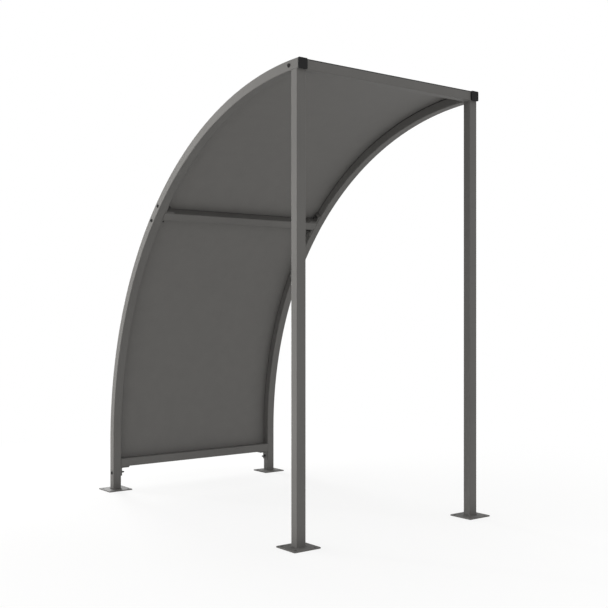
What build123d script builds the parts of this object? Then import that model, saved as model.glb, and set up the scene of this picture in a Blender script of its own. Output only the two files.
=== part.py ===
from build123d import *

import os
from math import acos, cos, degrees, radians, sin, sqrt, tan

# Bike shelter: two bent box-tube arches on two front posts, three cross rails between the arches,
# and two rolled steel sheets that lie on the outside of the frame. The origin is on the ground,
# midway between the sides and midway between the arches' front ends and the back of the rear legs.
# X runs to the right, Y from the open front to the back, Z up. Millimetres.

os.makedirs("parts", exist_ok=True)

# Frame
WIDTH = 1180.0  # over the outer sides of the two arches
DEPTH = 1970.0  # from the front ends of the arches to the back of the rear legs
LEG = 295.0  # height at which each rear leg runs into its curve
TUBE = 50.0  # side of every box tube
WALL = 3.0
CORNER = 5.0  # outer corner radius of the box tubes
POST_BACK = 6.0  # each post stands this far behind its arch's front end

# Cross rails, named by where they sit on the curve. Angle 0 is level at the back, 90 straight up.
MID_ANGLE = 44.2
BOTTOM_RAIL_Z = 164.0
BEAM_BACK = 0.5  # the front beam leans with the curve, so it sits this far behind the arch's front end

# Sheets
SHEET = 2.0
SHEET_INSET = 12.0  # from the arch's outer side to the sheet's side edge
FRONT_INSET = 10.0  # from the arch's front end to the roof sheet's front edge
SHEET_GAP = 3.0  # joint between the two sheets, over the middle of the mid rail

# Base plates
PLATE = 150.0
PLATE_T = 6.0
ANCHOR_PITCH = 110.0
ANCHOR_HOLE = 14.0
PLATE_CORNER = 4.0

# End caps of the arches
CAP_PROUD = 8.0
CAP_OVERHANG = 0.5
CAP_BEVEL = 1.5
PLUG_LENGTH = 25.0
PLUG_WALL = 3.0
PLUG_CORNER = 1.0  # inner corner radius of the hollow plug
PLUG_PLAY = 0.2

# Angle brackets between rail and arch
BRACKET_LEG = 55.0
BRACKET_T = 8.0
BRACKET_W = 40.0
BRACKET_INNER = 4.0

# Bolts: M10 x 80, dome head outside, flange nut inside
BOLT = 10.0
BOLT_LENGTH = 80.0
BOLT_CORE = 8.4  # inside the thread, where the bolt's end stands out of the nut
BOLT_HOLE = 11.0
HEAD_D = 20.0
HEAD_H = 8.0
NUT_FLANGE_D = 21.0
NUT_FLANGE_H = 2.5
NUT_AF = 15.0
NUT_H = 9.0
NUT_BEVEL_D = 13.5  # across the nut's flat end, inside its bevelled corners
NUT_BEVEL_SLOPE = 30.0
BOLT_END_BEVEL = 1.0

# Places worked out from the driving dimensions
HEIGHT = LEG + DEPTH
FRONT_Y = -DEPTH / 2
POST_Y = FRONT_Y + POST_BACK + TUBE / 2
R_OUT = DEPTH
R_MID = R_OUT - TUBE / 2
R_IN = R_OUT - TUBE
SIDE_X = (WIDTH - TUBE) / 2
SPAN = WIDTH - 2 * TUBE
FRONT_ANGLE = degrees(acos((TUBE / 2 + BEAM_BACK) / R_MID))
SEAT = R_OUT - sqrt(R_OUT**2 - (TUBE / 2 - CORNER) ** 2) + 0.05  # a flat rail under a round sheet
SIDES = (("left", -1), ("right", 1))


def tube_section(plane):
    """Cross-section of the box tube on a plane."""
    with BuildSketch(plane) as section:
        RectangleRounded(TUBE, TUBE, CORNER)
        RectangleRounded(TUBE - 2 * WALL, TUBE - 2 * WALL, CORNER - WALL, mode=Mode.SUBTRACT)
    return section.sketch


def rail_directions(angle):
    """Outward and forward-up directions of the curve at an angle."""
    c, s = cos(radians(angle)), sin(radians(angle))
    return Vector(0, c, s), Vector(0, -s, c)


def rail_centre(name):
    """A rail's centre line where it crosses X = 0, and its angle."""
    if name == "bottom":
        return Vector(0, FRONT_Y + R_MID, BOTTOM_RAIL_Z), 0.0
    angle = FRONT_ANGLE if name == "front" else MID_ANGLE
    outward, _ = rail_directions(angle)
    return Vector(0, FRONT_Y, LEG) + outward * (R_MID - SEAT), angle


# Brackets and their bolts: name, the rail they hold, the side of the rail along the curve,
# and how far the bolt is from the rail's centre line
BRACKETS = (
    ("front", "front", -1, 48.0),
    ("mid_upper", "mid", 1, 54.0),
    ("mid_lower", "mid", -1, 54.0),
    ("bottom", "bottom", -1, 60.0),
)


def bolt_point(rail, way, offset):
    """The bolt's axis where it crosses X = 0."""
    centre, angle = rail_centre(rail)
    _, forward = rail_directions(angle)
    return centre + forward * (way * offset)


def base_plate_planes():
    """The four base plates' names and places."""
    for depth_name, y in (("front", POST_Y), ("rear", FRONT_Y + R_MID)):
        for side, sign in SIDES:
            yield f"base_plate_{depth_name}_{side}", Plane.XY.move(Location((sign * SIDE_X, y, 0)))


# Base plates: flat steel, four anchor holes each
for name, plane in base_plate_planes():
    with BuildPart() as base_plate:
        with BuildSketch(plane):
            RectangleRounded(PLATE, PLATE, PLATE_CORNER)
            with GridLocations(ANCHOR_PITCH, ANCHOR_PITCH, 2, 2):
                Circle(ANCHOR_HOLE / 2, mode=Mode.SUBTRACT)
        extrude(amount=PLATE_T)
    base_plate.part.label = name
    export_step(base_plate.part, f"parts/{name}.step")

# Front posts: box tube, its top cut to the round underside of the arch
for side, sign in SIDES:
    with BuildPart() as post:
        foot = Plane.XY.move(Location((sign * SIDE_X, POST_Y, PLATE_T)))
        extrude(tube_section(foot), amount=HEIGHT - PLATE_T)
        with Locations(Location((sign * SIDE_X, FRONT_Y, LEG), (0, 90, 0))):
            Cylinder(R_IN, 2 * TUBE, mode=Mode.INTERSECT)
    post.part.label = f"post_{side}"
    export_step(post.part, f"parts/post_{side}.step")

# Arches: one bent box tube each, a straight rear leg that runs into a quarter circle to the front
for side, sign in SIDES:
    with BuildPart() as arch:
        foot = Plane.XY.move(Location((sign * SIDE_X, FRONT_Y + R_MID, PLATE_T)))
        with BuildLine(Plane.YZ.offset(sign * SIDE_X)) as path:
            leg = Line((FRONT_Y + R_MID, PLATE_T), (FRONT_Y + R_MID, LEG))
            RadiusArc(leg @ 1, (FRONT_Y, LEG + R_MID), -R_MID)
        sweep(tube_section(foot), path=path.wire())
        for _, rail, way, offset in BRACKETS:
            point = bolt_point(rail, way, offset)
            with Locations(Location((sign * SIDE_X, point.Y, point.Z), (0, 90, 0))):
                Cylinder(BOLT_HOLE / 2, 2 * TUBE, mode=Mode.SUBTRACT)
    arch.part.label = f"arch_{side}"
    export_step(arch.part, f"parts/arch_{side}.step")

# End caps: moulded caps that close the open front ends of the arches
for side, sign in SIDES:
    with BuildPart() as cap:
        face = Plane((sign * SIDE_X, FRONT_Y, LEG + R_MID), x_dir=(1, 0, 0), z_dir=(0, -1, 0))
        with BuildSketch(face):
            RectangleRounded(TUBE + 2 * CAP_OVERHANG, TUBE + 2 * CAP_OVERHANG, CORNER)
        extrude(amount=CAP_PROUD)
        chamfer(cap.faces().sort_by(Axis.Y)[0].edges(), CAP_BEVEL)
        plug = TUBE - 2 * WALL - 2 * PLUG_PLAY
        with BuildSketch(face):
            RectangleRounded(plug, plug, CORNER - WALL)
            RectangleRounded(plug - 2 * PLUG_WALL, plug - 2 * PLUG_WALL, PLUG_CORNER, mode=Mode.SUBTRACT)
        extrude(amount=-PLUG_LENGTH)
    cap.part.label = f"cap_{side}"
    export_step(cap.part, f"parts/cap_{side}.step")

# Cross rails between the arches: front beam, mid rail and bottom rail
for name, rail in (("front_beam", "front"), ("mid_rail", "mid"), ("bottom_rail", "bottom")):
    with BuildPart() as beam:
        centre, angle = rail_centre(rail)
        outward, _ = rail_directions(angle)
        end = Plane(centre - Vector(SPAN / 2, 0, 0), x_dir=outward, z_dir=(1, 0, 0))
        extrude(tube_section(end), amount=SPAN)
    beam.part.label = name
    export_step(beam.part, f"parts/{name}.step")

# Angle brackets: one leg on the rail, one on the inner side of the arch, bolted through the arch
for name, rail, way, offset in BRACKETS:
    for side, sign in SIDES:
        with BuildPart() as bracket:
            centre, angle = rail_centre(rail)
            _, forward = rail_directions(angle)
            corner = centre + Vector(sign * SPAN / 2, 0, 0) + forward * (way * TUBE / 2)
            inward = Vector(-sign, 0, 0)
            profile = Plane(corner, x_dir=inward, z_dir=inward.cross(forward * way))
            with BuildSketch(profile):
                with BuildLine():
                    Polyline(
                        (0, 0), (BRACKET_LEG, 0), (BRACKET_LEG, BRACKET_T), (BRACKET_T, BRACKET_T),
                        (BRACKET_T, BRACKET_LEG), (0, BRACKET_LEG), close=True,
                    )
                make_face()
            extrude(amount=BRACKET_W / 2, both=True)
            across = bracket.edges().filter_by(Axis(corner, profile.z_dir))
            fillet(across.sort_by_distance(profile.from_local_coords((BRACKET_T, BRACKET_T)))[0], BRACKET_INNER)
            point = bolt_point(rail, way, offset)
            with Locations(Location((sign * SPAN / 2, point.Y, point.Z), (0, 90, 0))):
                Cylinder(BOLT_HOLE / 2, 4 * BRACKET_T, mode=Mode.SUBTRACT)
        bracket.part.label = f"bracket_{name}_{side}"
        export_step(bracket.part, f"parts/bracket_{name}_{side}.step")

# Bolts: dome head on the arch's outer side, flange nut and bare end inside the shelter
grip = TUBE + BRACKET_T
nut_end = grip + NUT_H
nut_corner = NUT_AF / 2 / cos(radians(30))
nut_bevel = (nut_corner - NUT_BEVEL_D / 2) * tan(radians(NUT_BEVEL_SLOPE))
dome_radius = (HEAD_D**2 / 4 + HEAD_H**2) / (2 * HEAD_H)

for name, rail, way, offset in BRACKETS:
    for side, sign in SIDES:
        with BuildPart() as bolt:
            point = bolt_point(rail, way, offset)
            seat = Plane((sign * WIDTH / 2, point.Y, point.Z), x_dir=(0, 0, 1), z_dir=(sign, 0, 0))
            lengthways = Plane(seat.origin, x_dir=(-sign, 0, 0), z_dir=(0, 1, 0))
            with BuildSketch(seat.offset(-grip)):
                RegularPolygon(nut_corner, 6)
            extrude(amount=-NUT_H)
            with BuildSketch(lengthways):
                with BuildLine():
                    Polyline(
                        (grip, 0), (grip, NUT_FLANGE_D / 2), (nut_end - nut_bevel, NUT_FLANGE_D / 2),
                        (nut_end - nut_bevel, nut_corner), (nut_end, NUT_BEVEL_D / 2), (nut_end, 0),
                        close=True,
                    )
                make_face()
            revolve(axis=Axis(seat.origin, (1, 0, 0)), mode=Mode.INTERSECT)
            with BuildSketch(seat.offset(-grip)):
                Circle(NUT_FLANGE_D / 2)
            extrude(amount=-NUT_FLANGE_H)
            with BuildSketch(lengthways):
                with BuildLine():
                    dome = RadiusArc((-HEAD_H, 0), (0, HEAD_D / 2), dome_radius)
                    Polyline(
                        dome @ 1, (0, BOLT / 2), (nut_end, BOLT / 2), (nut_end, BOLT_CORE / 2),
                        (BOLT_LENGTH - BOLT_END_BEVEL, BOLT_CORE / 2),
                        (BOLT_LENGTH, BOLT_CORE / 2 - BOLT_END_BEVEL), (BOLT_LENGTH, 0), dome @ 0,
                    )
                make_face()
            revolve(axis=Axis(seat.origin, (1, 0, 0)))
        bolt.part.label = f"bolt_{name}_{side}"
        export_step(bolt.part, f"parts/bolt_{name}_{side}.step")

# Sheets: rolled steel on the outside of the frame, meeting over the mid rail
half_gap = degrees(SHEET_GAP / 2 / R_OUT)
front_edge = degrees(acos(FRONT_INSET / R_OUT))
sheet_width = WIDTH - 2 * SHEET_INSET


def ring_point(radius, angle):
    """A point of the side profile, at a radius and angle about the curve's centre."""
    return FRONT_Y + radius * cos(radians(angle)), LEG + radius * sin(radians(angle))


with BuildPart() as roof_sheet:
    with BuildSketch(Plane.YZ):
        with BuildLine():
            low, high = MID_ANGLE + half_gap, front_edge
            inner = RadiusArc(ring_point(R_OUT, low), ring_point(R_OUT, high), -R_OUT)
            outer = RadiusArc(ring_point(R_OUT + SHEET, low), ring_point(R_OUT + SHEET, high), -R_OUT - SHEET)
            Line(inner @ 0, outer @ 0)
            Line(inner @ 1, outer @ 1)
        make_face()
    extrude(amount=sheet_width / 2, both=True)
roof_sheet.part.label = "roof_sheet"
export_step(roof_sheet.part, "parts/roof_sheet.step")

with BuildPart() as back_sheet:
    with BuildSketch(Plane.YZ):
        with BuildLine():
            bottom_z = BOTTOM_RAIL_Z - TUBE / 2 + CORNER
            high = MID_ANGLE - half_gap
            inner_leg = Line((FRONT_Y + R_OUT, bottom_z), (FRONT_Y + R_OUT, LEG))
            inner = RadiusArc(inner_leg @ 1, ring_point(R_OUT, high), -R_OUT)
            outer_leg = Line((FRONT_Y + R_OUT + SHEET, bottom_z), (FRONT_Y + R_OUT + SHEET, LEG))
            outer = RadiusArc(outer_leg @ 1, ring_point(R_OUT + SHEET, high), -R_OUT - SHEET)
            Line(inner_leg @ 0, outer_leg @ 0)
            Line(inner @ 1, outer @ 1)
        make_face()
    extrude(amount=sheet_width / 2, both=True)
back_sheet.part.label = "back_sheet"
export_step(back_sheet.part, "parts/back_sheet.step")
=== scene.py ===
import math

import bmesh
import bpy
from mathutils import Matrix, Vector


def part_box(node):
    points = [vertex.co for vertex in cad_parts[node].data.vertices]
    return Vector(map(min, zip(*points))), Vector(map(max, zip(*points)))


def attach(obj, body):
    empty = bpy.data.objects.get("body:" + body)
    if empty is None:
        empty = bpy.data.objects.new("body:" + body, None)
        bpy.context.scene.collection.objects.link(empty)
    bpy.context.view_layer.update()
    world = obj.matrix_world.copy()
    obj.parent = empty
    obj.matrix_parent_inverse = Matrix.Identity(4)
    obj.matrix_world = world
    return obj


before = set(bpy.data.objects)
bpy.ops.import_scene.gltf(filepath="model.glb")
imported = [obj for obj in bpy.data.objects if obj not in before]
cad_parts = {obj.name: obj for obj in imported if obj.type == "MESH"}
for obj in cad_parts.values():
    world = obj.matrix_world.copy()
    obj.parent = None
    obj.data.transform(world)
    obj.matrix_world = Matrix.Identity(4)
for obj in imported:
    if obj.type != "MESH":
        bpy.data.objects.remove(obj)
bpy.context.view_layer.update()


# Base plates: laser-cut 6 mm steel, powder-coated with the rest of the frame in a warm dark grey, satin,
# with the fine orange peel of a sprayed powder. Each is welded under a post or a rear leg and takes four
# ground anchors.
class Signal:
    """A value or colour inside a node tree. Sums on values are written as plain arithmetic."""

    def __init__(self, nodes, socket):
        self.nodes = nodes
        self.socket = socket

    def __add__(self, other):
        return self.nodes.math("ADD", self, other)

    def __radd__(self, other):
        return self.nodes.math("ADD", other, self)

    def __sub__(self, other):
        return self.nodes.math("SUBTRACT", self, other)

    def __rsub__(self, other):
        return self.nodes.math("SUBTRACT", other, self)

    def __mul__(self, other):
        return self.nodes.math("MULTIPLY", self, other)

    def __rmul__(self, other):
        return self.nodes.math("MULTIPLY", other, self)

    def __truediv__(self, other):
        return self.nodes.math("DIVIDE", self, other)

    def __abs__(self):
        return self.nodes.math("ABSOLUTE", self)


class Nodes:
    """A node tree that is written one node at a time."""

    def __init__(self, tree):
        self.tree = tree

    def node(self, kind, settings=None, sockets=None, output=0):
        made = self.tree.nodes.new(kind)
        for name, value in (settings or {}).items():
            setattr(made, name, value)
        for key, value in (sockets or {}).items():
            self.feed(made, key, value)
        return Signal(self, self.find(made.outputs, output))

    def find(self, sockets, key):
        if isinstance(key, int):
            return sockets[key]
        return next(s for s in sockets if key in (s.identifier, s.name))

    def feed(self, node, key, value):
        socket = self.find(node.inputs, key)
        if isinstance(value, Signal):
            self.tree.links.new(value.socket, socket)
        else:
            socket.default_value = value

    def math(self, operation, first, second=0.0):
        return self.node("ShaderNodeMath", {"operation": operation}, {0: first, 1: second})

    def part(self, vector, letter):
        """X, Y or Z of a vector."""
        return self.node("ShaderNodeSeparateXYZ", sockets={"Vector": vector}, output=letter)

    def fade(self, value, **limits):
        """A value brought softly from one pair of limits to another, 0 and 1 if nothing else is given."""
        sockets = {"Value": value}
        for name, limit in limits.items():
            sockets[name.replace("_", " ").title()] = limit
        return self.node("ShaderNodeMapRange", {"interpolation_type": "SMOOTHSTEP"}, sockets)


class Finish(Nodes):
    """A material in the making, with its patterns in metres on the whole shelter."""

    def __init__(self, name):
        self.material = bpy.data.materials.new(name)
        self.material.use_nodes = True
        super().__init__(self.material.node_tree)
        self.shader = self.tree.nodes["Principled BSDF"]
        self.place = self.node("ShaderNodeTexCoord", output="Object")

    def noise(self, size, detail=2.0, stretch=None):
        """Cloudy variation from 0 to 1, with lumps of about this size."""
        place = self.place
        if stretch:
            place = self.node("ShaderNodeMapping", sockets={"Vector": place, "Scale": stretch})
        return self.node("ShaderNodeTexNoise", sockets={"Vector": place, "Scale": 1 / size, "Detail": detail})

    def blend(self, factor, first, second):
        """A colour between two others, by a value from 0 to 1."""
        sockets = {"Factor_Float": factor, "A_Color": first, "B_Color": second}
        return self.node("ShaderNodeMix", {"data_type": "RGBA"}, sockets, output="Result_Color")

    def mottle(self, factor, colour, tones):
        """A colour that runs from its darkest to its lightest tone, by a value from 0 to 1."""
        darkest, lightest = tones
        return self.blend(factor, shade(colour, darkest), shade(colour, lightest))

    def set(self, **values):
        for name, value in values.items():
            self.feed(self.shader, name.replace("_", " "), value)

    def bump(self, height, strength, depth):
        sockets = {"Height": height, "Strength": strength, "Distance": depth}
        self.set(Normal=self.node("ShaderNodeBump", sockets=sockets))


def shade(colour, factor):
    """The same colour, lighter or darker, as a socket takes it."""
    return (*(part * factor for part in colour), 1.0)


def paint(node, finish):
    """Gives a CAD node one finish in all its material slots."""
    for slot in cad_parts[node].material_slots:
        slot.material = finish.material


GREY = (0.107, 0.1041, 0.0996)
FRAME_TONES = (0.82, 1.18)
FRAME_ROUGHNESS = 0.56
CLOUD_ROUGHNESS = 0.10
SPECKLE_ROUGHNESS = 0.06
PAINT_SHINE = 0.22
PEEL_SIZE = 0.0035
SPECKLE_SIZE = 0.0016
CLOUD_SIZE = 0.16
CLOUD_STRETCH = (1.0, 1.0, 0.45)
CLOUD_SHARE = 0.6

frame_paint = Finish("frame_powder_coat")
peel = frame_paint.noise(PEEL_SIZE, detail=1.0)
speckle = frame_paint.noise(SPECKLE_SIZE, detail=1.0)
cloud = frame_paint.noise(CLOUD_SIZE, detail=3.0, stretch=CLOUD_STRETCH)
coat = frame_paint.mottle(cloud * CLOUD_SHARE + speckle * (1.0 - CLOUD_SHARE), GREY, FRAME_TONES)
frame_paint.set(
    Base_Color=coat,
    Roughness=FRAME_ROUGHNESS + cloud * CLOUD_ROUGHNESS + speckle * SPECKLE_ROUGHNESS,
    Specular_IOR_Level=PAINT_SHINE,
)
frame_paint.bump(peel, strength=0.35, depth=0.00005)

CORNERS = ("front_left", "front_right", "rear_left", "rear_right")
for corner in CORNERS:
    paint(f"base_plate_{corner}", frame_paint)
plate_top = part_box("base_plate_front_left")[1].z

# Front posts: straight 50 mm box tube with 5 mm corners, its top cut to the round underside of the
# arch and welded to it. The same powder coat runs over tube and weld.
SIDES = {"left": -1, "right": 1}
for side in SIDES:
    paint(f"post_{side}", frame_paint)

# Arches: one 50 mm box tube on each side, straight up the rear leg and then roll-bent through a quarter
# circle to the front, painted after bending and drilling. Where the sheets lie on a tube's rounded corner,
# the coat is darkened to a fine dark line of painted shade, inside and along the front beam.
TUBE = 0.050
TUBE_CORNER = 0.005
SEAM_DEPTH = 0.0070
SEAM_CORE = 0.0042
SEAM_MARGIN = 0.001
# The near-black colour of the painted shade in the seam.
SEAM_SHADE_COLOUR = (0.012, 0.0118, 0.0115)

for side in SIDES:
    paint(f"arch_{side}", frame_paint)
arch_low, arch_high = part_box("arch_right")
side_x = arch_high.x - TUBE / 2
front_y = arch_low.y
back_y = arch_high.y
radius_out = back_y - front_y
radius_in = radius_out - TUBE
bend_z = arch_high.z - radius_out


def on_curve(radius, angle):
    """Y and Z of a point of the side profile, at an angle in radians from level at the back."""
    return front_y + radius * math.cos(angle), bend_z + radius * math.sin(angle)


across = frame_paint.part(frame_paint.place, "X")
away = frame_paint.part(frame_paint.place, "Y") - front_y
height = frame_paint.part(frame_paint.place, "Z")
rise = frame_paint.math("MAXIMUM", height - bend_z, 0.0)
reach = frame_paint.math("SQRT", away * away + rise * rise)
# Painted shade: the coat runs to near black over the last millimetres of the tube's corner under the sheets,
# in place of the contact shadow there.
painted_shade = frame_paint.fade(reach, from_min=radius_out - SEAM_DEPTH, from_max=radius_out - SEAM_CORE)
under_sheet = frame_paint.math("LESS_THAN", reach, radius_out + SEAM_MARGIN)
beside_sheet = frame_paint.math("GREATER_THAN", height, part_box("back_sheet")[0].z)
inside = frame_paint.math("LESS_THAN", abs(across), side_x - TUBE / 2 + TUBE_CORNER)
seam_shade = painted_shade * under_sheet * beside_sheet * inside
frame_paint.set(Base_Color=frame_paint.blend(seam_shade, coat, shade(SEAM_SHADE_COLOUR, 1.0)))


# Cross rails: three box tubes between the arches, at the front edge, half way round the curve and above
# the rear feet, cut square and held by angle brackets.
for rail in ("front_beam", "mid_rail", "bottom_rail"):
    paint(rail, frame_paint)

# Angle brackets: short lengths of 8 mm thick angle bar, one leg welded to the rail, the other bolted
# through the arch. Each is named with its rail and the side of the rail it is on, along the curve.
BRACKETS = {
    "front": ("front_beam", -1),
    "mid_upper": ("mid_rail", 1),
    "mid_lower": ("mid_rail", -1),
    "bottom": ("bottom_rail", -1),
}
BRACKET_LEG = 0.055
BRACKET_HALF = 0.020
ARCH_CLEARANCE = 0.006

for joint in BRACKETS:
    for side in SIDES:
        paint(f"bracket_{joint}_{side}", frame_paint)


# Weld beads: laid by hand round each foot on its base plate and along the legs of the brackets, with the
# fine ripples of the pool, then painted over. The joint of post and arch is welded inside and behind, and
# dressed flush on the faces that show.
class Pattern(Nodes):
    """A node tree that repeats a shape along lines. Its sizes are named inputs."""

    def __init__(self, name, *inputs):
        super().__init__(bpy.data.node_groups.new(name, "GeometryNodeTree"))
        kinds = {"Lines": "Geometry", "Finish": "Material", "Shape": "Object"}
        for given in ("Lines", "Finish", *inputs):
            kind = "NodeSocket" + kinds.get(given, "Float")
            self.tree.interface.new_socket(given, in_out="INPUT", socket_type=kind)
        self.tree.interface.new_socket("Piece", in_out="OUTPUT", socket_type="NodeSocketGeometry")
        self.given = self.tree.nodes.new("NodeGroupInput")
        self.line = self.node("GeometryNodeMeshToCurve", sockets={"Mesh": self.input("Lines")})

    def input(self, name):
        return Signal(self, self.find(self.given.outputs, name))

    def end(self, shapes):
        whole = self.node("GeometryNodeRealizeInstances", sockets={"Geometry": shapes})
        sockets = {"Geometry": whole, "Material": self.input("Finish")}
        painted = self.node("GeometryNodeSetMaterial", sockets=sockets)
        self.feed(self.tree.nodes.new("NodeGroupOutput"), "Piece", painted)

    def lay(self, piece_name, lines, finish, **values):
        """Runs the tree on lines of points, each with a flag for a closed line, and gives a plain mesh."""
        guide = bpy.data.meshes.new("guide")
        points = [point for line, _ in lines for point in line]
        edges = []
        start = 0
        for line, closed in lines:
            last = len(line) if closed else len(line) - 1
            edges += [(start + i, start + (i + 1) % len(line)) for i in range(last)]
            start += len(line)
        guide.from_pydata(points, edges, [])
        carrier = bpy.data.objects.new("guide", guide)
        bpy.context.scene.collection.objects.link(carrier)
        growth = carrier.modifiers.new("pattern", "NODES")
        growth.node_group = self.tree
        values["Finish"] = finish.material
        for item in self.tree.interface.items_tree:
            if item.name in values:
                growth[item.identifier] = values[item.name]
        grown = carrier.evaluated_get(bpy.context.evaluated_depsgraph_get())
        mesh = bpy.data.meshes.new_from_object(grown)
        carrier.modifiers.remove(growth)
        bpy.data.objects.remove(carrier)
        bm = bmesh.new()
        bm.from_mesh(mesh)
        bmesh.ops.recalc_face_normals(bm, faces=bm.faces)
        bm.to_mesh(mesh)
        bm.free()
        mesh.name = piece_name
        piece = bpy.data.objects.new(piece_name, mesh)
        bpy.context.scene.collection.objects.link(piece)
        return piece


FOOT_BEAD = 0.0032
BRACKET_BEAD = 0.0042
BEAD_PITCH = 0.0016
BEAD_RIPPLE = 0.22
BEAD_SIDES = 8
STEPS_PER_RIPPLE = 4
HAND_SCALE = 90.0
HAND_SWELL = 0.3
CORNER_STEPS = 4

bead = Pattern("weld_bead", "Radius", "Pitch", "Ripple")
pitch = bead.input("Pitch")
sockets = {"Curve": bead.line, "Length": pitch / STEPS_PER_RIPPLE}
fine = bead.node("GeometryNodeResampleCurve", {"mode": "LENGTH"}, sockets)
along = bead.node("GeometryNodeSplineParameter", output="Length")
ripple = abs(bead.math("SINE", along / pitch * math.pi))
hand = bead.node("ShaderNodeTexNoise", sockets={"Scale": HAND_SCALE, "Detail": 1.0})
swell = 1.0 - bead.input("Ripple") * (1.0 - ripple) + (hand - 0.5) * HAND_SWELL
ring = bead.node("GeometryNodeCurvePrimitiveCircle", sockets={"Resolution": BEAD_SIDES, "Radius": 1.0})
sockets = {"Curve": fine, "Profile Curve": ring, "Scale": bead.input("Radius") * swell, "Fill Caps": True}
rope = bead.node("GeometryNodeCurveToMesh", sockets=sockets)
bead.end(bead.node("GeometryNodeSetShadeSmooth", sockets={"Geometry": rope}))


def tube_outline(x, y, z):
    """The rounded square where a box tube stands on a plate."""
    points = []
    arm = TUBE / 2 - TUBE_CORNER
    for quarter, (sign_x, sign_y) in enumerate(((1, 1), (-1, 1), (-1, -1), (1, -1))):
        for step in range(CORNER_STEPS + 1):
            turn = math.radians(90) * (quarter + step / CORNER_STEPS)
            points.append((
                x + sign_x * arm + TUBE_CORNER * math.cos(turn),
                y + sign_y * arm + TUBE_CORNER * math.sin(turn),
                z,
            ))
    return points


foot_lines = []
for corner in CORNERS:
    low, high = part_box(f"base_plate_{corner}")
    foot_lines.append((tube_outline((low.x + high.x) / 2, (low.y + high.y) / 2, plate_top), True))

head_lines = []
post_front, post_back = (corner.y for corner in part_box("post_left"))
for sign in SIDES.values():
    inner = sign * (side_x - TUBE / 2)
    outer = sign * (side_x + TUBE / 2)
    line = []
    for x, y in (
        (inner, post_front + TUBE_CORNER),
        (inner, post_back - TUBE_CORNER),
        (inner + sign * TUBE_CORNER, post_back),
        (outer - sign * TUBE_CORNER, post_back),
    ):
        line.append((x, y, bend_z + math.sqrt(radius_in**2 - (y - front_y) ** 2)))
    head_lines.append((line, False))

bracket_lines = []
for rail, way in BRACKETS.values():
    low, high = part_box(rail)
    rail_y = (low.y + high.y) / 2
    rail_z = (low.z + high.z) / 2
    turn = math.atan2(max(rail_z - bend_z, 0.0), rail_y - front_y)
    face_y = rail_y - way * TUBE / 2 * math.sin(turn)
    face_z = rail_z + way * TUBE / 2 * math.cos(turn)
    for sign in SIDES.values():
        near, free = (sign * (side_x - TUBE / 2 - gap) for gap in (ARCH_CLEARANCE, BRACKET_LEG))
        line = []
        for x, edge in ((near, -1), (free, -1), (free, 1), (near, 1)):
            offset = edge * BRACKET_HALF
            line.append((x, face_y + offset * math.cos(turn), face_z + offset * math.sin(turn)))
        bracket_lines.append((line, False))

for name, lines, radius in (
    ("foot_welds", foot_lines, FOOT_BEAD),
    ("post_head_welds", head_lines, FOOT_BEAD),
    ("bracket_welds", bracket_lines, BRACKET_BEAD),
):
    welds = bead.lay(name, lines, frame_paint, Radius=radius, Pitch=BEAD_PITCH, Ripple=BEAD_RIPPLE)
    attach(welds, "root")

# Sheets: rolled 2 mm steel on the outside of the frame, coated like the frame but smoother, with the
# faint waviness of a large sheet.
# The sheet coat's tones are set about a tenth lighter than the frame's, a painted lift of light for the
# brighter light on the sheets' underside.
SHEET_LIT_TONES = (0.94, 1.26)
SHEET_ROUGHNESS = 0.62
DRIFT_ROUGHNESS = 0.08
SHEET_PEEL_SIZE = 0.004
SHEET_SPECKLE_SIZE = 0.0018
DRIFT_SIZE = 0.07
WAVE_SIZE = 0.30
PEEL_SHARE = 0.06

sheet_paint = Finish("sheet_powder_coat")
peel = sheet_paint.noise(SHEET_PEEL_SIZE, detail=1.0)
wave = sheet_paint.noise(WAVE_SIZE, detail=1.0)
drift = sheet_paint.noise(DRIFT_SIZE, detail=3.0)
speckle = sheet_paint.noise(SHEET_SPECKLE_SIZE, detail=1.0)
sheet_paint.set(
    Base_Color=sheet_paint.mottle((drift + speckle) / 2, GREY, SHEET_LIT_TONES),
    Roughness=SHEET_ROUGHNESS + drift * DRIFT_ROUGHNESS,
    Specular_IOR_Level=PAINT_SHINE,
)
sheet_paint.bump(peel * PEEL_SHARE + wave, strength=0.35, depth=0.0012)
for sheet in ("roof_sheet", "back_sheet"):
    paint(sheet, sheet_paint)

roof_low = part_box("roof_sheet")[0]
back_low, back_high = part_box("back_sheet")
radius_sheet = back_high.y - front_y

# Blind rivets: painted dome heads that hold the sheets to the arches and the rails from outside, in
# even rows, each with the small dimple of its drawn pin.
RIVET_RADIUS = 0.0048
RIVET_HEIGHT = 0.0018
RIVET_SKIRT = 0.0004
SHOULDER_RADIUS = 0.72 * RIVET_RADIUS
SHOULDER_HEIGHT = 0.82 * RIVET_HEIGHT
DIMPLE_RADIUS = 0.0013
DIMPLE_RIM = 1.4 * DIMPLE_RADIUS
DIMPLE_FLOOR = 0.6 * RIVET_HEIGHT
RIVET_SIDES = 12
SIDE_SPACING = 0.150
RAIL_SPACING = 0.180
EDGE_GAP = 0.022
JOINT_GAP = 0.011
ARC_STEPS = 48

rivets = Pattern("rivet_rows", "Shape", "Spacing", "Bend Y", "Bend Z")
sockets = {"Curve": rivets.line, "Length": rivets.input("Spacing")}
row = rivets.node("GeometryNodeResampleCurve", {"mode": "LENGTH"}, sockets)
spot = rivets.node("GeometryNodeInputPosition")
away = rivets.part(spot, "Y") - rivets.input("Bend Y")
rise = rivets.math("MAXIMUM", rivets.part(spot, "Z") - rivets.input("Bend Z"), 0.0)
outward = rivets.node("ShaderNodeCombineXYZ", sockets={"Y": away, "Z": rise})
upright = rivets.node("FunctionNodeAlignRotationToVector", {"axis": "Z"}, {"Vector": outward})
shape = rivets.node("GeometryNodeObjectInfo", sockets={"Object": rivets.input("Shape")}, output="Geometry")
sockets = {"Points": row, "Instance": shape, "Rotation": upright}
rivets.end(rivets.node("GeometryNodeInstanceOnPoints", sockets=sockets))

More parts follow.
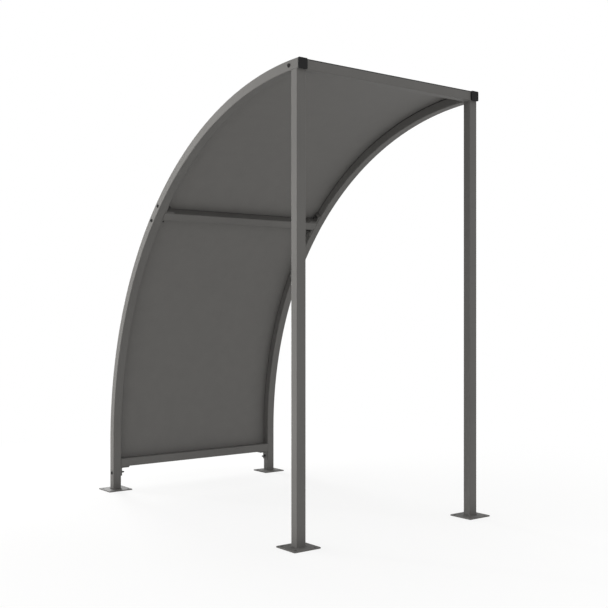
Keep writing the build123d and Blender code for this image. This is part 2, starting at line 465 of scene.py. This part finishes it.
profile = (
    (RIVET_RADIUS, -RIVET_SKIRT),
    (RIVET_RADIUS, RIVET_SKIRT),
    (SHOULDER_RADIUS, SHOULDER_HEIGHT),
    (DIMPLE_RIM, RIVET_HEIGHT),
    (DIMPLE_RADIUS, DIMPLE_FLOOR),
)
bm = bmesh.new()
rings = []
for radius, z in profile:
    ring = []
    for step in range(RIVET_SIDES):
        turn = math.tau * step / RIVET_SIDES
        ring.append(bm.verts.new((radius * math.cos(turn), radius * math.sin(turn), z)))
    rings.append(ring)
for lower, upper in zip(rings, rings[1:]):
    for step in range(RIVET_SIDES):
        after = (step + 1) % RIVET_SIDES
        bm.faces.new((lower[step], lower[after], upper[after], upper[step]))
bm.faces.new(rings[-1])
bm.faces.new(reversed(rings[0]))
for face in bm.faces:
    face.smooth = len(face.verts) == 4
head_mesh = bpy.data.meshes.new("rivet_head")
bm.to_mesh(head_mesh)
bm.free()
rivet_head = bpy.data.objects.new("rivet_head", head_mesh)

front_turn = math.acos((roof_low.y - front_y + EDGE_GAP) / radius_sheet)
joint_turn = math.atan2(back_high.z - bend_z, back_low.y - front_y)
beam_turn = math.acos(TUBE / 2 / radius_sheet)
below_joint = joint_turn - JOINT_GAP / radius_sheet
above_joint = joint_turn + JOINT_GAP / radius_sheet


def arc_line(x, start, end):
    """Points round the sheet's outer side, from one angle to another."""
    turns = [start + (end - start) * step / ARC_STEPS for step in range(ARC_STEPS + 1)]
    return [(x, *on_curve(radius_sheet, turn)) for turn in turns]


side_lines = []
for sign in SIDES.values():
    x = sign * side_x
    leg_start = (x, front_y + radius_sheet, back_low.z + EDGE_GAP)
    side_lines.append(([leg_start] + arc_line(x, 0.0, below_joint), False))
    side_lines.append((arc_line(x, above_joint, front_turn), False))

rail_lines = []
span = side_x - RAIL_SPACING
bottom_z = sum(corner.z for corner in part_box("bottom_rail")) / 2
for y, z in (
    (front_y + radius_sheet, bottom_z),
    on_curve(radius_sheet, below_joint),
    on_curve(radius_sheet, above_joint),
    on_curve(radius_sheet, beam_turn),
):
    rail_lines.append(([(-span, y, z), (span, y, z)], False))

bend = {"Bend Y": front_y, "Bend Z": bend_z}
for name, lines, spacing in (
    ("side_rivets", side_lines, SIDE_SPACING),
    ("rail_rivets", rail_lines, RAIL_SPACING),
):
    heads = rivets.lay(name, lines, frame_paint, Spacing=spacing, Shape=rivet_head, **bend)
    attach(heads, "root")
bpy.data.objects.remove(rivet_head)

# Bolts: M10 dome-headed bolts with flange nuts, coated black, a dull thin coat that is a little uneven.
# The ends that stand out of the nuts inside the shelter show their rolled thread.
BOLT_BLACK = (0.027, 0.0263, 0.0256)
BOLT_TONES = (0.7, 1.3)
BOLT_ROUGHNESS = 0.48
BLOOM_ROUGHNESS = 0.14
BOLT_SHINE = 0.2
BLOOM_SIZE = 0.004
BOLT_GRAIN_SIZE = 0.0008
THREAD_PITCH = 0.0015
THREAD_DEPTH = 0.00078
THREAD_STEPS = 16
THREAD_SIDES = 4
CORE_RADIUS = 0.0042
FREE_END = 0.013
END_BEVEL = 0.001

black_coat = Finish("black_bolt_coat")
bloom = black_coat.noise(BLOOM_SIZE, detail=3.0)
black_coat.set(
    Base_Color=black_coat.mottle(bloom, BOLT_BLACK, BOLT_TONES),
    Roughness=BOLT_ROUGHNESS + bloom * BLOOM_ROUGHNESS,
    Specular_IOR_Level=BOLT_SHINE,
)
black_coat.bump(black_coat.noise(BOLT_GRAIN_SIZE), strength=0.3, depth=0.00005)

threads = Pattern("screw_thread", "Pitch", "Depth", "Core", "Length")
helix = threads.node("GeometryNodeCurveSpiral", sockets={
    "Resolution": THREAD_STEPS,
    "Rotations": threads.input("Length") / threads.input("Pitch"),
    "Start Radius": threads.input("Core"),
    "End Radius": threads.input("Core"),
    "Height": threads.input("Length"),
})
helix = threads.node("GeometryNodeSetCurveNormal", {"mode": "Z_UP"}, {"Curve": helix})
sockets = {"Resolution": THREAD_SIDES, "Radius": threads.input("Depth")}
ridge = threads.node("GeometryNodeCurvePrimitiveCircle", sockets=sockets)
sockets = {"Curve": helix, "Profile Curve": ridge, "Fill Caps": True}
coil = threads.node("GeometryNodeCurveToMesh", sockets=sockets)
first = threads.node("GeometryNodeCurveEndpointSelection", sockets={"Start Size": 1, "End Size": 0})
onward = threads.node("GeometryNodeInputTangent")
lean = threads.node("FunctionNodeAlignRotationToVector", {"axis": "Z"}, {"Vector": onward})
sockets = {"Points": threads.line, "Selection": first, "Instance": coil, "Rotation": lean}
threads.end(threads.node("GeometryNodeInstanceOnPoints", sockets=sockets))

axes = []
for joint in BRACKETS:
    for side, sign in SIDES.items():
        bolt = f"bolt_{joint}_{side}"
        paint(bolt, black_coat)
        low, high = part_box(bolt)
        tip = high.x if sign < 0 else low.x
        ends = (tip + sign * FREE_END, tip + sign * END_BEVEL)
        axes.append(([(x, (low.y + high.y) / 2, (low.z + high.z) / 2) for x in ends], False))
bolt_threads = threads.lay(
    "bolt_threads", axes, black_coat,
    Pitch=THREAD_PITCH, Depth=THREAD_DEPTH, Core=CORE_RADIUS, Length=FREE_END - END_BEVEL,
)
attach(bolt_threads, "root")

# End caps: moulded black plastic with a fine matt grain, pushed into the open front ends of the arches.
BLACK_PLASTIC = (0.014, 0.014, 0.0145)
PLASTIC_TONES = (0.85, 1.15)
PLASTIC_ROUGHNESS = 0.50
GRAIN_ROUGHNESS = 0.12
PLASTIC_SHINE = 0.12
GRAIN_SIZE = 0.0012

black_plastic = Finish("black_plastic")
grain = black_plastic.noise(GRAIN_SIZE)
black_plastic.set(
    Base_Color=black_plastic.mottle(grain, BLACK_PLASTIC, PLASTIC_TONES),
    Roughness=PLASTIC_ROUGHNESS + grain * GRAIN_ROUGHNESS,
    Specular_IOR_Level=PLASTIC_SHINE,
)
black_plastic.bump(grain, strength=0.4, depth=0.0001)
for side in SIDES:
    paint(f"cap_{side}", black_plastic)

# Camera: where the photograph was taken from, at about chest height, level, looking along the left side.
IMAGE = 608.0
FOCAL_PIXELS = 990.06
AXIS_PIXEL_X = 352.64
AXIS_PIXEL_Y = 309.20
VIEWPOINT = (-3.25158, -4.67907, 1.10574)
YAW = 0.67953
SENSOR = 36.0

lens = bpy.data.cameras.new("camera")
lens.sensor_width = SENSOR
lens.lens = FOCAL_PIXELS / IMAGE * SENSOR
lens.shift_x = (IMAGE / 2 - AXIS_PIXEL_X) / IMAGE
lens.shift_y = (AXIS_PIXEL_Y - IMAGE / 2) / IMAGE
camera = bpy.data.objects.new("camera", lens)
camera.location = VIEWPOINT
camera.rotation_euler = (math.radians(90), 0.0, -YAW)
bpy.context.scene.collection.objects.link(camera)
bpy.context.scene.camera = camera

# Floor: a plain pale studio floor. The camera sees it white, with the object's soft shadow kept.
FLOOR_RADIUS = 30.0
FLOOR_COLOUR = (0.87, 0.87, 0.86, 1.0)
WHITE = (1.0, 1.0, 1.0, 1.0)
SHADOW_SHARE = 0.25
SHADOW_CORE = 1.225
SHADOW_RADIUS = 3.5

bm = bmesh.new()
bmesh.ops.create_circle(bm, cap_ends=True, segments=96, radius=FLOOR_RADIUS)
mesh = bpy.data.meshes.new("floor")
bm.to_mesh(mesh)
bm.free()
floor = bpy.data.objects.new("floor", mesh)
bpy.context.scene.collection.objects.link(floor)

floor_white = Finish("floor_white")
floor_white.set(Base_Color=FLOOR_COLOUR, Roughness=0.9, Specular_IOR_Level=0.1)
seen = floor_white.node("ShaderNodeLightPath", output="Is Camera Ray")
mirrored = floor_white.node("ShaderNodeLightPath", output="Is Glossy Ray")
passed = floor_white.node("ShaderNodeLightPath", output="Is Transmission Ray")
distance = floor_white.node("ShaderNodeVectorMath", {"operation": "LENGTH"}, {0: floor_white.place}, "Value")
shadow = floor_white.fade(
    distance, from_min=SHADOW_CORE, from_max=SHADOW_RADIUS, to_min=SHADOW_SHARE, to_max=0.0,
)
lit = Signal(floor_white, floor_white.shader.outputs["BSDF"])
plain = floor_white.node("ShaderNodeEmission", sockets={"Color": WHITE, "Strength": 1.0})
share = (seen + mirrored + passed) * (1.0 - shadow)
look = floor_white.node("ShaderNodeMixShader", sockets={0: share, 1: lit, 2: plain})
floor_white.feed(floor_white.tree.nodes["Material Output"], "Surface", look)
mesh.materials.append(floor_white.material)

# Light: a plain white surround and two lamps low behind the shelter. The key is a gridded strip light that
# sweeps along the left side and lights what faces left; the other skims the rear plates. Each lamp has its
# place, aim, width, height, spread in degrees, watts, and whether the glossy paint mirrors it.
LAMPS = {
    "key": ((-3.63, 6.0, 1.42), (-0.42, -0.22, 1.3), 1.2, 2.7, 12.0, 32.0, False),
    "skimmer": ((0.8, 6.9, 1.2), (-0.565, 0.96, 0.0), 1.6, 1.2, 180.0, 370.0, True),
}

world = bpy.data.worlds.new("surround")
bpy.context.scene.world = world
world.use_nodes = True
sky = Nodes(world.node_tree)
background = world.node_tree.nodes["Background"]
sky.feed(background, "Color", WHITE)
sky.feed(background, "Strength", 1.0)

for name, (place, aim, width, height, spread, watts, gleams) in LAMPS.items():
    lamp = bpy.data.lights.new(name, "AREA")
    lamp.shape = "RECTANGLE"
    lamp.size = width
    lamp.size_y = height
    lamp.spread = math.radians(spread)
    lamp.energy = watts
    stand = bpy.data.objects.new(name, lamp)
    stand.visible_glossy = gleams
    stand.location = place
    stand.rotation_euler = (Vector(aim) - Vector(place)).to_track_quat("-Z", "Y").to_euler()
    bpy.context.scene.collection.objects.link(stand)

bpy.context.scene.view_settings.view_transform = "Standard"
